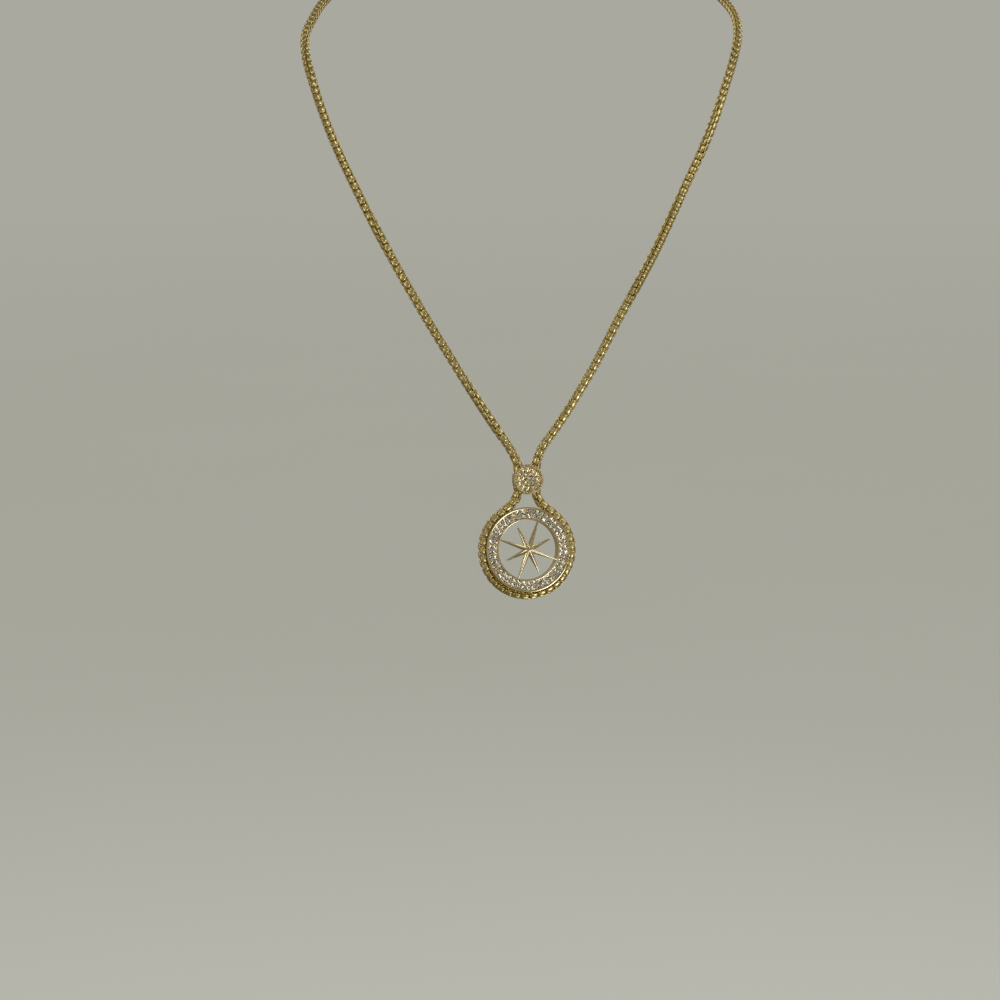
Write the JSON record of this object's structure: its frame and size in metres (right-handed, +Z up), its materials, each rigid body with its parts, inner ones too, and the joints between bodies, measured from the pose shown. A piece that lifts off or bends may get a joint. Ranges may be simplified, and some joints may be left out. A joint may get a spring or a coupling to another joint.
{
  "type": "compass pendant necklace",
  "caption": "Chain necklace with a round compass pendant: a star in an open stone-set ring, the chain laid round the ring's groove and gathered above it by a stone-set slider.",
  "frame": {"origin": "inner face of the clasp, where the necklace rests on the back of the neck", "axes": "+Z up, -Y the side that the pendant faces, +X to the viewer's right"},
  "size_m": [0.1437, 0.1365, 0.2064],
  "materials": {
    "gold_metal": "polished yellow gold plate on brass",
    "chain_metal": "polished yellow gold plate on brass, slightly worn",
    "crystal": "clear cut stones"
  },
  "bodies": {
    "root": {"compass_ring": "gold_metal", "ring_stones": "crystal", "wrap_chain": "chain_metal", "slider": "gold_metal", "slider_stones": "crystal", "neck_chain_left": "chain_metal", "neck_chain_right": "chain_metal", "clasp": "gold_metal"}
  },
  "joints": []
}
